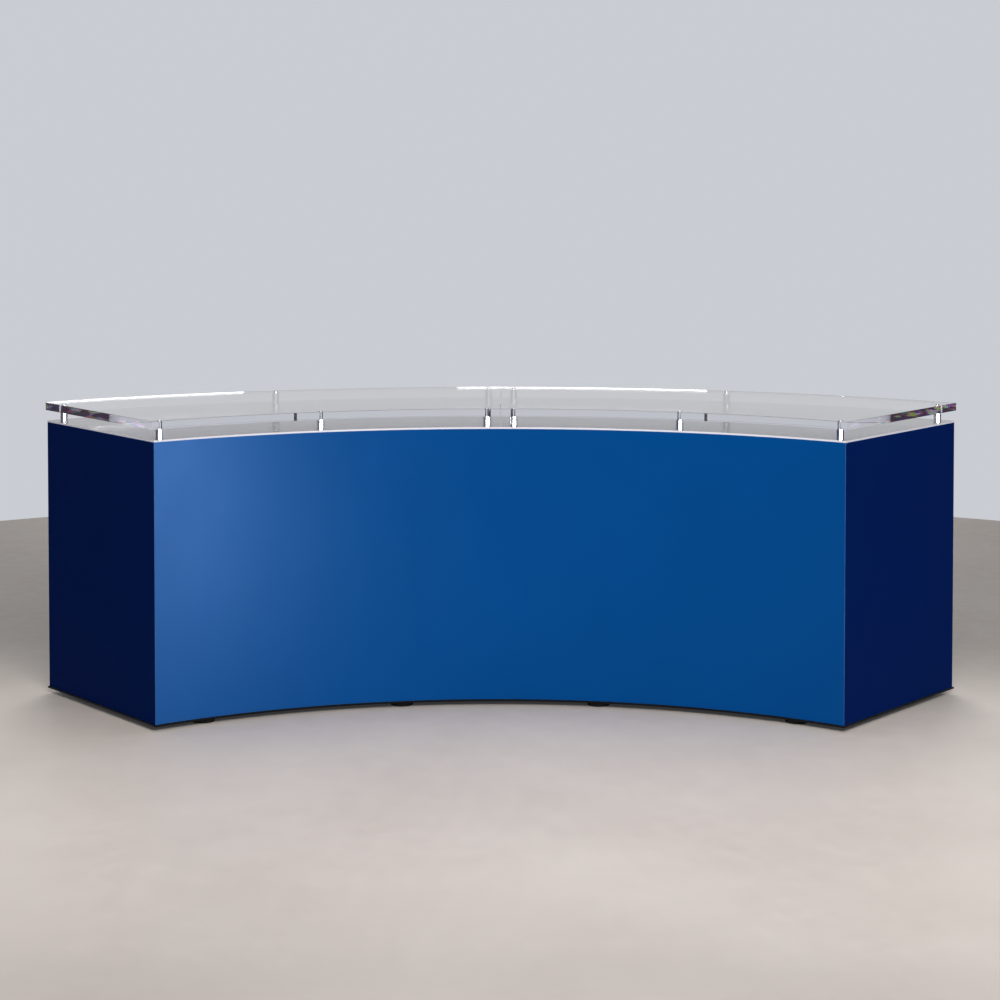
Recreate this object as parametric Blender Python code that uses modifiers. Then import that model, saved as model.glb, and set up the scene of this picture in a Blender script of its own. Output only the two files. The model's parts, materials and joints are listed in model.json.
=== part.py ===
"""Curved checkout counter.

A concave blue front and two flat blue ends enclose a shelved carcass. A pale deck covers it, and a
two-piece clear acrylic top stands above the deck on round metal standoffs. The counter stands on a
thin black base plate with levelling feet, and two cash drawers hang under the top on the staff side.

Frame: metres, +Z up. The customer's concave side faces -Y and the staff's convex side faces +Y. The
origin is on the floor, under the middle of the counter's bounding box. Left and right are as the
customer sees them: left is -X. Plan shapes are laid out about the common centre of all the arcs. An
angle of zero points along +Y, and angles grow towards +X.
"""

from math import asin, ceil, cos, pi, radians, sin, sqrt

import bmesh
import bpy
from mathutils import Vector

# Plan
FRONT_RADIUS = 1.916            # the concave face of the front panel
DEPTH = 0.775                   # from that face to the rear edge, along a radius
BACK_RADIUS = FRONT_RADIUS + DEPTH
HALF_SWEEP = radians(37.85)     # from the middle to either flat end
CLADDING = 0.010                # thickness of the blue front and ends
BOARD = 0.018                   # thickness of the carcass boards behind them

# Heights, from the floor up
FOOT_HEIGHT = 0.018
BASE_THICK = 0.006
PANEL_HEIGHT = 0.971
DECK_THICK = 0.006
STANDOFF_HEIGHT = 0.038
ACRYLIC_THICK = 0.028
BASE_TOP = FOOT_HEIGHT + BASE_THICK
DECK_BOTTOM = BASE_TOP + PANEL_HEIGHT
DECK_TOP = DECK_BOTTOM + DECK_THICK
ACRYLIC_BOTTOM = DECK_TOP + STANDOFF_HEIGHT
ACRYLIC_TOP = ACRYLIC_BOTTOM + ACRYLIC_THICK

# How far the plates stand out past the blue panels
BASE_OVERHANG = 0.005
ACRYLIC_FRONT = 0.004
ACRYLIC_END = 0.008
ACRYLIC_SETBACK = 0.002         # the acrylic's rear edge stops short of the deck's
SEAM = 0.0025                   # the slot between the two halves of the acrylic top

# Fits and facets
GAP = 0.0003                    # between pieces that touch
ARC_GAP = 0.0005                # the same between two faceted arcs
MITRE_GAP = 0.0006              # along the plate's edge, at the corners of the front
RUNNING = 0.001                 # between pieces that slide
ARC_STEP = radians(1.6)         # longest facet of an arc
MERGE = 0.0001
ROUND_STEPS = 16
DRILL_STEPS = 12
DRILL_CORNER = 1 / cos(pi / DRILL_STEPS)   # so that the flats of a drill clear a round shank

# Carcass
INNER_RADIUS = FRONT_RADIUS + CLADDING + ARC_GAP
BOARD_SETBACK = 0.003           # boards and dividers stop short of the rear edge
SUBTOP_SETBACK = 0.001
BOTTOM_LOW = BASE_TOP + GAP
BOTTOM_TOP = BOTTOM_LOW + BOARD
SUBTOP_TOP = DECK_BOTTOM - GAP
SUBTOP_LOW = SUBTOP_TOP - BOARD
DIVIDER_ANGLES = {"left": -HALF_SWEEP / 2, "centre": 0.0, "right": HALF_SWEEP / 2}
SHELF_THICK = 0.025
SHELF_LOW = 0.480
SHELF_SETBACK = 0.030
SHELF_GAP = 0.001

# Standoffs: a sleeve between deck and acrylic, and a shouldered cap screw through it
SLEEVE_RADIUS = 0.014
SLEEVE_CHAMFER = 0.001
SCREW_RADIUS = 0.004
SCREW_DRILL_RADIUS = (SCREW_RADIUS + GAP) * DRILL_CORNER
SCREW_GRIP = 0.010              # how deep the shank goes into the sub-top
SCREW_END = SUBTOP_TOP - SCREW_GRIP
SHOULDER_RADIUS = 0.006         # the stout upper part, inside the acrylic
SHOULDER_DRILL_RADIUS = (SHOULDER_RADIUS + GAP) * DRILL_CORNER
CAP_RADIUS = 0.0075
CAP_HEIGHT = 0.003
CAP_EDGE_HEIGHT = 0.00135       # where the low dome starts
CAP_CROWN_RADIUS = 0.0045       # of the ring between the dome's edge and its middle
CAP_CROWN_HEIGHT = 0.00255
FRONT_INSET = 0.017             # from the concave edge to the front row
BACK_INSET = 0.047              # from the convex edge to the back row
BACK_END_INSET = 0.097          # the same at the back row's end standoffs
SEAM_INSET = 0.048              # from the seam to the standoffs beside it
FRONT_END_INSET = 0.031         # from the flat end to the front row's last standoff
BACK_END_SIDE_INSET = 0.017     # from the flat end to the back row's last standoff
FRONT_MID = radians(19.1)
BACK_MID = radians(18.85)

# Levelling feet
PAD_RADIUS = 0.040
PAD_CHAMFER = 0.0015
STEM_RADIUS = 0.005
STEM_DRILL_RADIUS = (STEM_RADIUS + GAP) * DRILL_CORNER
STEM_RECESS = 0.002             # from the bottom board's upper face down to the stem's end
STEM_TOP = BOTTOM_TOP - STEM_RECESS
FOOT_INSET = 0.055              # from either curved edge to a foot's centre
FOOT_ANGLES = {"outer": radians(31.6), "inner": radians(10.3)}

# Cash drawers, one in the middle of each inner bay
BAY_ANGLE = HALF_SWEEP / 4
FRONT_BOARD_TOP_GAP = 0.003
FRONT_BOARD_TOP = SUBTOP_LOW - FRONT_BOARD_TOP_GAP
FRONT_BOARD_HEIGHT = 0.140
FRONT_BOARD_SETBACK = 0.022
FRONT_BOARD_GAP = 0.0025        # between the front board's ends and the dividers
TRAY_WIDTH = 0.540
TRAY_BACK = 2.190               # distance of its back from the centre of the arcs
TRAY_WALL = 0.012
TRAY_FLOOR = 0.009
TRAY_RISE = 0.010               # from the front board's lower edge up to the tray
TRAY_LOW = FRONT_BOARD_TOP - FRONT_BOARD_HEIGHT + TRAY_RISE
TRAY_HEIGHT = 0.105
HANGER_SHEET = 0.003
HANGER_LIP = 0.014
HANGER_FLANGE = 0.025
HANGER_OVERRUN = 0.020          # how far the runners reach past the tray's back
HANGER_BACK = TRAY_BACK - HANGER_OVERRUN
HANGER_LENGTH = 0.450
PULL_WIDTH = 0.140
PULL_REACH = 0.028
PULL_RADIUS = 0.005
PULL_BEND = 0.012
BEND_STEPS = 3
PULL_RESOLUTION = 2

SIDES = {"left": -1, "right": 1}

# The whole plan is moved along Y so that its bounding box is centred on the origin. The acrylic's
# front corners reach furthest forward, and the middle of the base plate reaches furthest back.
LOWEST_Y = (FRONT_RADIUS - ACRYLIC_FRONT) * cos(HALF_SWEEP) - ACRYLIC_END * sin(HALF_SWEEP)
HIGHEST_Y = BACK_RADIUS + BASE_OVERHANG
CENTRE_Y = -(LOWEST_Y + HIGHEST_Y) / 2

# name: (colour, roughness, metallic, transmission)
FINISHES = {
    "blue_laminate": ((0.002, 0.060, 0.246), 0.42, 0.0, 0.0),
    "deck_laminate": ((0.560, 0.560, 0.580), 0.35, 0.0, 0.0),
    "carcass_laminate": ((0.620, 0.620, 0.620), 0.50, 0.0, 0.0),
    "drawer_birch": ((0.540, 0.400, 0.250), 0.50, 0.0, 0.0),
    "clear_acrylic": ((0.960, 0.970, 0.980), 0.02, 0.0, 1.0),
    "black_plate": ((0.010, 0.010, 0.012), 0.45, 0.0, 0.0),
    "black_rubber": ((0.012, 0.012, 0.012), 0.80, 0.0, 0.0),
    "polished_steel": ((0.700, 0.700, 0.720), 0.12, 1.0, 0.0),
    "zinc_steel": ((0.480, 0.490, 0.500), 0.38, 1.0, 0.0),
}


def clear_scene():
    for obj in list(bpy.data.objects):
        bpy.data.objects.remove(obj, do_unlink=True)


def make_collection(name):
    collection = bpy.data.collections.new(name)
    bpy.context.scene.collection.children.link(collection)
    return collection


def make_material(name, colour, roughness, metallic, transmission):
    material = bpy.data.materials.new(name)
    material.use_nodes = True
    shader = material.node_tree.nodes["Principled BSDF"]
    shader.inputs["Base Color"].default_value = (*colour, 1.0)
    shader.inputs["Roughness"].default_value = roughness
    shader.inputs["Metallic"].default_value = metallic
    shader.inputs["Transmission Weight"].default_value = transmission
    return material


# Plan geometry

def direction(angle):
    return Vector((sin(angle), cos(angle)))


def plan_point(angle, along, offset=0.0):
    """The point `along` a ray from the centre of the arcs, moved sideways by `offset`."""
    sideways = Vector((cos(angle), -sin(angle)))
    return direction(angle) * along + sideways * offset + Vector((0.0, CENTRE_Y))


def edge_angle(radius, edge):
    """Where a circle meets the line that runs beside the ray at edge[0], moved by edge[1]."""
    angle, offset = edge
    return angle + asin(offset / radius)


def arc(radius, start, end):
    count = max(1, ceil(abs(end - start) / ARC_STEP - MERGE))
    return [plan_point(start + (end - start) * i / count, radius) for i in range(count + 1)]


def sector(inner, outer, low_edge, high_edge):
    """A plan outline between two radii and two edges, each edge an (angle, offset) pair."""
    near = arc(inner, edge_angle(inner, low_edge), edge_angle(inner, high_edge))
    far = arc(outer, edge_angle(outer, high_edge), edge_angle(outer, low_edge))
    return near + far


def whole_sweep(inner, outer, overhang):
    return sector(inner, outer, (-HALF_SWEEP, -overhang), (HALF_SWEEP, overhang))


# Shapes

def finish_mesh(mesh):
    """Closes the seams of a mesh and turns its faces outwards."""
    bm = bmesh.new()
    bm.from_mesh(mesh)
    bmesh.ops.remove_doubles(bm, verts=bm.verts, dist=MERGE)
    bmesh.ops.recalc_face_normals(bm, faces=bm.faces)
    bm.to_mesh(mesh)
    bm.free()


def place(obj, finish):
    obj.data.materials.append(MATERIALS[finish])
    PARTS.objects.link(obj)
    return obj


def from_curve(name, curve, finish):
    """A closed mesh object made from a curve's own surface."""
    guide = bpy.data.objects.new(name + "_curve", curve)
    CUTTERS.objects.link(guide)
    graph = bpy.context.evaluated_depsgraph_get()
    mesh = bpy.data.meshes.new_from_object(guide.evaluated_get(graph))
    bpy.data.objects.remove(guide, do_unlink=True)
    finish_mesh(mesh)
    return place(bpy.data.objects.new(name, mesh), finish)


def add_spline(curve, points, cyclic):
    spline = curve.splines.new("POLY")
    spline.points.add(len(points) - 1)
    for point, place_at in zip(spline.points, points):
        point.co = (*place_at, 1.0)
    spline.use_cyclic_u = cyclic


def prism(name, outline, low, high, finish):
    """A flat outline, filled and given its thickness from low to high."""
    curve = bpy.data.curves.new(name, "CURVE")
    curve.dimensions = "2D"
    curve.fill_mode = "BOTH"
    curve.extrude = (high - low) / 2
    add_spline(curve, [(point[0], point[1], 0.0) for point in outline], True)
    obj = from_curve(name, curve, finish)
    for vertex in obj.data.vertices:
        vertex.co.z += (low + high) / 2
    return obj


def turned(name, profile, centre, finish):
    """A profile of (radius, height) points, run down its outer side, turned about a vertical axis."""
    bm = bmesh.new()
    corners = [bm.verts.new((radius, 0.0, height)) for radius, height in profile]
    for start, end in zip(corners, corners[1:]):
        bm.edges.new((start, end))
    if profile[0][0] > 0.0:
        bm.edges.new((corners[-1], corners[0]))
    mesh = bpy.data.meshes.new(name)
    bm.to_mesh(mesh)
    bm.free()
    obj = place(bpy.data.objects.new(name, mesh), finish)
    obj.location = (centre.x, centre.y, 0.0)
    screw = obj.modifiers.new("turn", "SCREW")
    screw.steps = screw.render_steps = ROUND_STEPS
    screw.use_merge_vertices = True
    screw.merge_threshold = MERGE
    return obj


def drill(name, centres, radius, low, high):
    """One cutter that holds a vertical drill at each centre."""
    bm = bmesh.new()
    for centre in centres:
        made = bmesh.ops.create_cone(
            bm, cap_ends=True, segments=DRILL_STEPS, radius1=radius, radius2=radius, depth=high - low
        )
        middle = Vector((centre.x, centre.y, (low + high) / 2))
        bmesh.ops.translate(bm, verts=made["verts"], vec=middle)
    mesh = bpy.data.meshes.new(name)
    bm.to_mesh(mesh)
    bm.free()
    return add_cutter(bpy.data.objects.new(name, mesh))


def add_cutter(obj):
    obj.hide_render = True
    obj.display_type = "WIRE"
    CUTTERS.objects.link(obj)
    return obj


def cut(obj, cutter):
    boolean = obj.modifiers.new(cutter.name, "BOOLEAN")
    boolean.operation = "DIFFERENCE"
    boolean.solver = "EXACT"
    boolean.object = cutter


# Places of what repeats

def standoff_places():
    """Name and plan centre of every standoff."""
    front = FRONT_RADIUS + FRONT_INSET
    back = BACK_RADIUS - BACK_INSET
    back_end = BACK_RADIUS - BACK_END_INSET
    places = {}
    for side, sign in SIDES.items():
        end = sign * HALF_SWEEP
        places[f"front_{side}_end"] = plan_point(end, front, -sign * FRONT_END_INSET)
        places[f"front_{side}_mid"] = plan_point(sign * FRONT_MID, front)
        places[f"front_{side}_seam"] = plan_point(0.0, front, sign * SEAM_INSET)
        places[f"back_{side}_end"] = plan_point(end, back_end, -sign * BACK_END_SIDE_INSET)
        places[f"back_{side}_mid"] = plan_point(sign * BACK_MID, back)
        places[f"back_{side}_seam"] = plan_point(0.0, back, sign * SEAM_INSET)
    return places


def foot_places():
    """Name and plan centre of every levelling foot."""
    rows = {"front": FRONT_RADIUS + FOOT_INSET, "back": BACK_RADIUS - FOOT_INSET}
    return {
        f"{row}_{side}_{place_name}": plan_point(sign * angle, radius)
        for row, radius in rows.items()
        for side, sign in SIDES.items()
        for place_name, angle in FOOT_ANGLES.items()
    }


# Sub-parts

def base(feet):
    outline = whole_sweep(FRONT_RADIUS - BASE_OVERHANG, BACK_RADIUS + BASE_OVERHANG, BASE_OVERHANG)
    plate = prism("base_plate", outline, FOOT_HEIGHT, BASE_TOP, "black_plate")
    outline = whole_sweep(INNER_RADIUS, BACK_RADIUS - BOARD_SETBACK, -CLADDING - GAP)
    board = prism("bottom_board", outline, BOTTOM_LOW, BOTTOM_TOP, "carcass_laminate")
    stem_drill = drill("stem_drill", feet.values(), STEM_DRILL_RADIUS, 0.0, BOTTOM_TOP + BOARD)
    cut(plate, stem_drill)
    cut(board, stem_drill)


def levelling_foot(name, centre):
    pad_top = FOOT_HEIGHT - GAP
    profile = [
        (0.0, STEM_TOP),
        (STEM_RADIUS, STEM_TOP),
        (STEM_RADIUS, pad_top),
        (PAD_RADIUS - PAD_CHAMFER, pad_top),
        (PAD_RADIUS, pad_top - PAD_CHAMFER),
        (PAD_RADIUS, PAD_CHAMFER),
        (PAD_RADIUS - PAD_CHAMFER, 0.0),
        (0.0, 0.0),
    ]
    turned(f"foot_{name}", profile, centre, "black_rubber")


def front_panel():
    """The front, one bent board whose ends are mitred to meet the end panels."""
    inner, outer = FRONT_RADIUS, FRONT_RADIUS + CLADDING
    near_cut = -MITRE_GAP / 2
    far_cut = near_cut - CLADDING
    near = arc(
        inner,
        edge_angle(inner, (-HALF_SWEEP, -near_cut)),
        edge_angle(inner, (HALF_SWEEP, near_cut)),
    )
    far = arc(
        outer,
        edge_angle(outer, (HALF_SWEEP, far_cut)),
        edge_angle(outer, (-HALF_SWEEP, -far_cut)),
    )
    prism("front_panel", near + far, BOTTOM_LOW, SUBTOP_TOP, "blue_laminate")


def end_panel(side, sign):
    """A flat end, mitred at the front and square at the rear edge."""
    angle = sign * HALF_SWEEP
    mitre = FRONT_RADIUS + MITRE_GAP / 2
    outline = [
        plan_point(angle, mitre),
        plan_point(angle, BACK_RADIUS),
        plan_point(angle, BACK_RADIUS, -sign * CLADDING),
        plan_point(angle, mitre + CLADDING, -sign * CLADDING),
    ]
    prism(f"end_panel_{side}", outline, BOTTOM_LOW, SUBTOP_TOP, "blue_laminate")


def dividers():
    for name, angle in DIVIDER_ANGLES.items():
        edges = (angle, -BOARD / 2), (angle, BOARD / 2)
        outline = sector(INNER_RADIUS, BACK_RADIUS - BOARD_SETBACK, *edges)
        low, high = BOTTOM_TOP + GAP, SUBTOP_LOW - GAP
        prism(f"divider_{name}", outline, low, high, "carcass_laminate")


def shelves():
    """One fixed shelf in each of the four bays."""
    half = BOARD / 2 + SHELF_GAP
    whole = CLADDING + SHELF_GAP
    outer_radius = BACK_RADIUS - SHELF_SETBACK
    for side, sign in SIDES.items():
        divider = sign * HALF_SWEEP / 2
        bays = {
            "inner": ((0.0, sign * half), (divider, -sign * half)),
            "outer": ((divider, sign * half), (sign * HALF_SWEEP, -sign * whole)),
        }
        for bay, edges in bays.items():
            outline = sector(INNER_RADIUS, outer_radius, *edges)
            top = SHELF_LOW + SHELF_THICK
            prism(f"shelf_{side}_{bay}", outline, SHELF_LOW, top, "carcass_laminate")


def top(standoffs):
    """Sub-top, deck and acrylic, drilled for the cap screws and their shoulders."""
    outline = whole_sweep(INNER_RADIUS, BACK_RADIUS - SUBTOP_SETBACK, -CLADDING - GAP)
    subtop = prism("sub_top", outline, SUBTOP_LOW, SUBTOP_TOP, "carcass_laminate")
    outline = whole_sweep(FRONT_RADIUS, BACK_RADIUS, 0.0)
    deck = prism("deck_sheet", outline, DECK_BOTTOM, DECK_TOP, "deck_laminate")
    low = SCREW_END - GAP
    screw_drill = drill("screw_drill", standoffs.values(), SCREW_DRILL_RADIUS, low, ACRYLIC_BOTTOM)
    cut(subtop, screw_drill)
    cut(deck, screw_drill)
    high = ACRYLIC_TOP + ACRYLIC_THICK
    shoulder_drill = drill(
        "shoulder_drill", standoffs.values(), SHOULDER_DRILL_RADIUS, DECK_TOP, high
    )
    for side, sign in SIDES.items():
        edges = (0.0, sign * SEAM / 2), (sign * HALF_SWEEP, sign * ACRYLIC_END)
        outline = sector(FRONT_RADIUS - ACRYLIC_FRONT, BACK_RADIUS - ACRYLIC_SETBACK, *edges)
        half = prism(f"acrylic_top_{side}", outline, ACRYLIC_BOTTOM, ACRYLIC_TOP, "clear_acrylic")
        cut(half, shoulder_drill)


def standoff(name, centre):
    low, high = DECK_TOP + GAP, ACRYLIC_BOTTOM - GAP
    profile = [
        (SLEEVE_RADIUS - SLEEVE_CHAMFER, high),
        (SLEEVE_RADIUS, high - SLEEVE_CHAMFER),
        (SLEEVE_RADIUS, low + SLEEVE_CHAMFER),
        (SLEEVE_RADIUS - SLEEVE_CHAMFER, low),
        (SCREW_DRILL_RADIUS, low),
        (SCREW_DRILL_RADIUS, high),
    ]
    turned(f"standoff_{name}", profile, centre, "polished_steel")


def cap_screw(name, centre):
    """A low domed cap, a shoulder that fills the acrylic's hole, and a shank down to the sub-top."""
    under = ACRYLIC_TOP + GAP
    profile = [
        (0.0, under + CAP_HEIGHT),
        (CAP_CROWN_RADIUS, under + CAP_CROWN_HEIGHT),
        (CAP_RADIUS, under + CAP_EDGE_HEIGHT),
        (CAP_RADIUS, under),
        (SHOULDER_RADIUS, under),
        (SHOULDER_RADIUS, ACRYLIC_BOTTOM),
        (SCREW_RADIUS, ACRYLIC_BOTTOM),
        (SCREW_RADIUS, SCREW_END),
        (0.0, SCREW_END),
    ]
    turned(f"cap_screw_{name}", profile, centre, "polished_steel")


# Cash drawers

def bowed_rectangle(angle, back, bow_radius, half_width):
    """A rectangle across a ray, whose far side bulges as an arc about the centre."""
    reach = asin(half_width / bow_radius)
    bow = arc(bow_radius, angle - reach, angle + reach)
    return [plan_point(angle, back, half_width), plan_point(angle, back, -half_width), *bow]


def drawer_tray(side, angle):
    """An open box, with a front wall bowed to fit behind the curved front board."""
    bow_radius = BACK_RADIUS - FRONT_BOARD_SETBACK - BOARD - ARC_GAP
    outside = bowed_rectangle(angle, TRAY_BACK, bow_radius, TRAY_WIDTH / 2)
    inside = bowed_rectangle(
        angle, TRAY_BACK + TRAY_WALL, bow_radius - TRAY_WALL, TRAY_WIDTH / 2 - TRAY_WALL
    )
    high = TRAY_LOW + TRAY_HEIGHT
    tray = prism(f"drawer_tray_{side}", outside, TRAY_LOW, high, "drawer_birch")
    hollow = prism(
        f"drawer_hollow_{side}", inside, TRAY_LOW + TRAY_FLOOR, high + TRAY_WALL, "drawer_birch"
    )
    PARTS.objects.unlink(hollow)
    cut(tray, add_cutter(hollow))


def drawer_front(side, angle):
    outer = BACK_RADIUS - FRONT_BOARD_SETBACK
    margin = BOARD / 2 + FRONT_BOARD_GAP
    edges = (angle - BAY_ANGLE, margin), (angle + BAY_ANGLE, -margin)
    low = FRONT_BOARD_TOP - FRONT_BOARD_HEIGHT
    outline = sector(outer - BOARD, outer, *edges)
    prism(f"drawer_front_{side}", outline, low, FRONT_BOARD_TOP, "carcass_laminate")


def drawer_pull(side, angle):
    """A bow handle: a bar on two legs that bend round into it."""
    half = PULL_WIDTH / 2
    face = BACK_RADIUS - FRONT_BOARD_SETBACK
    root = sqrt(face**2 - half**2) + ARC_GAP
    far = face + PULL_REACH
    height = FRONT_BOARD_TOP - FRONT_BOARD_HEIGHT / 2
    bend = [pi / 2 * i / BEND_STEPS for i in range(BEND_STEPS + 1)]
    leg_side, bend_far = half - PULL_BEND, far - PULL_BEND
    turn_in = [(leg_side + PULL_BEND * cos(a), bend_far + PULL_BEND * sin(a)) for a in bend]
    path = [(half, root), *turn_in]
    path += [(-sideways, ahead) for sideways, ahead in reversed(path)]
    points = [(*plan_point(angle, ahead, sideways), height) for sideways, ahead in path]
    curve = bpy.data.curves.new("drawer_pull", "CURVE")
    curve.dimensions = "3D"
    curve.bevel_depth = PULL_RADIUS
    curve.bevel_resolution = PULL_RESOLUTION
    curve.use_fill_caps = True
    add_spline(curve, points, False)
    from_curve(f"drawer_pull_{side}", curve, "polished_steel")


def drawer_hanger(side, angle, edge_name, edge_sign):
    """A bent steel runner: a flange under the sub-top, a web beside the tray, a lip under it."""
    web_in = TRAY_WIDTH / 2 + RUNNING
    web_out = web_in + HANGER_SHEET
    roof = SUBTOP_LOW - GAP
    lip_top = TRAY_LOW - GAP
    lip_low = lip_top - HANGER_SHEET
    section = [
        (web_in, roof),
        (web_out + HANGER_FLANGE, roof),
        (web_out + HANGER_FLANGE, roof - HANGER_SHEET),
        (web_out, roof - HANGER_SHEET),
        (web_out, lip_low),
        (web_in - HANGER_LIP, lip_low),
        (web_in - HANGER_LIP, lip_top),
        (web_in, lip_top),
    ]
    outline = [(edge_sign * sideways, height) for sideways, height in section]
    name = f"drawer_hanger_{side}_{edge_name}"
    hanger = prism(name, outline, -HANGER_LENGTH, 0.0, "zinc_steel")
    hanger.rotation_euler = (pi / 2, 0.0, -angle)
    hanger.location = (*plan_point(angle, HANGER_BACK), 0.0)


def drawer(side, sign):
    angle = sign * BAY_ANGLE
    drawer_tray(side, angle)
    drawer_front(side, angle)
    drawer_pull(side, angle)
    for edge_name, edge_sign in SIDES.items():
        drawer_hanger(side, angle, edge_name, edge_sign)


def build():
    feet = foot_places()
    standoffs = standoff_places()
    base(feet)
    for name, centre in feet.items():
        levelling_foot(name, centre)
    front_panel()
    for side, sign in SIDES.items():
        end_panel(side, sign)
        drawer(side, sign)
    dividers()
    shelves()
    top(standoffs)
    for name, centre in standoffs.items():
        standoff(name, centre)
        cap_screw(name, centre)


clear_scene()
PARTS = make_collection("checkout_counter")
CUTTERS = make_collection("cutters")
MATERIALS = {name: make_material(name, *finish) for name, finish in FINISHES.items()}
build()
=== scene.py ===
"""The looks of the curved checkout counter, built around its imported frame.

Everything is in metres, in the frame of the CAD model: +Z is up, the customer's side faces -Y. The
CAD boards stay and get rounded edges and better materials. The clear acrylic halves, the standoffs,
their cap screws, the levelling feet and the drawer pulls are replaced by finer pieces.
"""

import json
from math import asin, ceil, cos, pi, radians, sin, sqrt

import bmesh
import bpy
from mathutils import Matrix, Vector

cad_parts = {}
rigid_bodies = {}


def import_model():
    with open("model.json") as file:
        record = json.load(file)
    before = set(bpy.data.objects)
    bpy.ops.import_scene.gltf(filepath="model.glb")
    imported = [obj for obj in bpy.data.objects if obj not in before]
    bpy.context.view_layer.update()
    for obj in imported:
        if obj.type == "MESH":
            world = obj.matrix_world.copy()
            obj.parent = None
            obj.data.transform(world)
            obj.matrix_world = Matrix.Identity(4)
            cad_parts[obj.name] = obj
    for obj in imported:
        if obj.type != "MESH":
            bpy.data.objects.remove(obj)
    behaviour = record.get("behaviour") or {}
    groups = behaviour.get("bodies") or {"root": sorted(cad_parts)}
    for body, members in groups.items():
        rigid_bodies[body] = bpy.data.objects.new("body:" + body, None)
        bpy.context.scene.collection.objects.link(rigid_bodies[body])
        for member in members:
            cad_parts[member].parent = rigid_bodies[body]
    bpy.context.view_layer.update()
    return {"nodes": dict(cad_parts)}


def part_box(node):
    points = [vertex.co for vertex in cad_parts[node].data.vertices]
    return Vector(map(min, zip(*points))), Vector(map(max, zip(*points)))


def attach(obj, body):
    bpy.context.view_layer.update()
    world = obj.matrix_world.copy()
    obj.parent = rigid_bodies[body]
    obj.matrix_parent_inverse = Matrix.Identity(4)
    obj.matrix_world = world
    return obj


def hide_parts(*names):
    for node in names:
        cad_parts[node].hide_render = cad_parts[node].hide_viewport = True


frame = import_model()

SIDES = {"left": -1, "right": 1}
STANDOFFS = [
    f"{row}_{side}_{place}"
    for row in ("front", "back")
    for side in SIDES
    for place in ("end", "mid", "seam")
]
FEET = [
    f"{row}_{side}_{place}"
    for row in ("front", "back")
    for side in SIDES
    for place in ("outer", "inner")
]

# The plan's driving sizes, as in the CAD model
FRONT_RADIUS = 1.916
BACK_RADIUS = 2.691
HALF_SWEEP = radians(37.85)
BASE_OVERHANG = 0.005
ACRYLIC_FRONT = 0.004
ACRYLIC_END = 0.008
ACRYLIC_SETBACK = 0.002
SEAM = 0.0025
CENTRE_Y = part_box("base_plate")[1].y - BACK_RADIUS - BASE_OVERHANG

# Heights that the frame gives
ACRYLIC_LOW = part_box("acrylic_top_left")[0].z
ACRYLIC_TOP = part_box("acrylic_top_left")[1].z

ARC_STEP = radians(0.4)
ROUND_STEPS = 64
FLAT_ANGLE = radians(15)        # facets that meet more sharply than this keep a hard edge
MERGE = 0.00001


# Shader nodes

class Surface:
    """A material whose nodes are added one call at a time."""

    def __init__(self, name):
        self.material = bpy.data.materials.new(name)
        self.material.use_nodes = True
        self.tree = self.material.node_tree
        self.shader = self.tree.nodes["Principled BSDF"]
        self.place = self.add("ShaderNodeTexCoord").outputs["Object"]

    def add(self, kind, inputs=None, **settings):
        node = self.tree.nodes.new(kind)
        for key, value in settings.items():
            setattr(node, key, value)
        for socket, value in (inputs or {}).items():
            self.put(node.inputs[socket], value)
        return node

    def put(self, socket, value):
        if isinstance(value, bpy.types.NodeSocket):
            self.tree.links.new(value, socket)
        elif getattr(socket, "type", "") == "RGBA" and len(value) == 3:
            socket.default_value = (*value, 1.0)
        else:
            socket.default_value = value

    def set(self, **values):
        """Sets the shader's sockets. An underscore in a name stands for a space."""
        for name, value in values.items():
            self.put(self.shader.inputs[name.replace("_", " ")], value)

    def stretched(self, scale):
        """The place, scaled by a number or by three, for a grain that runs one way."""
        factors = scale if hasattr(scale, "__len__") else (scale,) * 3
        node = self.add("ShaderNodeMapping", {"Vector": self.place, "Scale": factors})
        return node.outputs["Vector"]

    def noise(self, scale, detail=3.0, rough=0.55):
        return self.add(
            "ShaderNodeTexNoise",
            {"Vector": self.stretched(scale), "Scale": 1.0, "Detail": detail, "Roughness": rough},
        ).outputs["Fac"]

    def spread(self, value, low, high, start=0.3, end=0.7):
        """Takes a value between start and end to a value between low and high."""
        return self.add(
            "ShaderNodeMapRange",
            {"Value": value, "From Min": start, "From Max": end, "To Min": low, "To Max": high},
        ).outputs["Result"]

    def blend(self, factor, first, second, blend_type="MIX"):
        """Blends two colours, which are inputs 6 and 7 of the node."""
        node = self.add("ShaderNodeMix", data_type="RGBA", blend_type=blend_type)
        self.put(node.inputs["Factor"], factor)
        self.put(node.inputs[6], first)
        self.put(node.inputs[7], second)
        return node.outputs[2]

    def math(self, operation, first, second):
        node = self.add("ShaderNodeMath", operation=operation)
        self.put(node.inputs[0], first)
        self.put(node.inputs[1], second)
        return node.outputs[0]

    def vector_math(self, operation, *vectors):
        """A vector operation. LENGTH and DOT_PRODUCT give a number, the others a vector."""
        node = self.add("ShaderNodeVectorMath", dict(enumerate(vectors)), operation=operation)
        return node.outputs["Value" if operation in ("LENGTH", "DOT_PRODUCT") else "Vector"]

    def bump(self, height, strength, distance):
        node = self.add(
            "ShaderNodeBump", {"Height": height, "Strength": strength, "Distance": distance}
        )
        self.put(self.shader.inputs["Normal"], node.outputs["Normal"])


BLUE_GLOSS = (0.25, 0.50, 1.0)      # the tint of the blue laminates' reflections
ROUGHNESS_SPREAD = 0.035            # how far handling marks move their roughness either way


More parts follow.
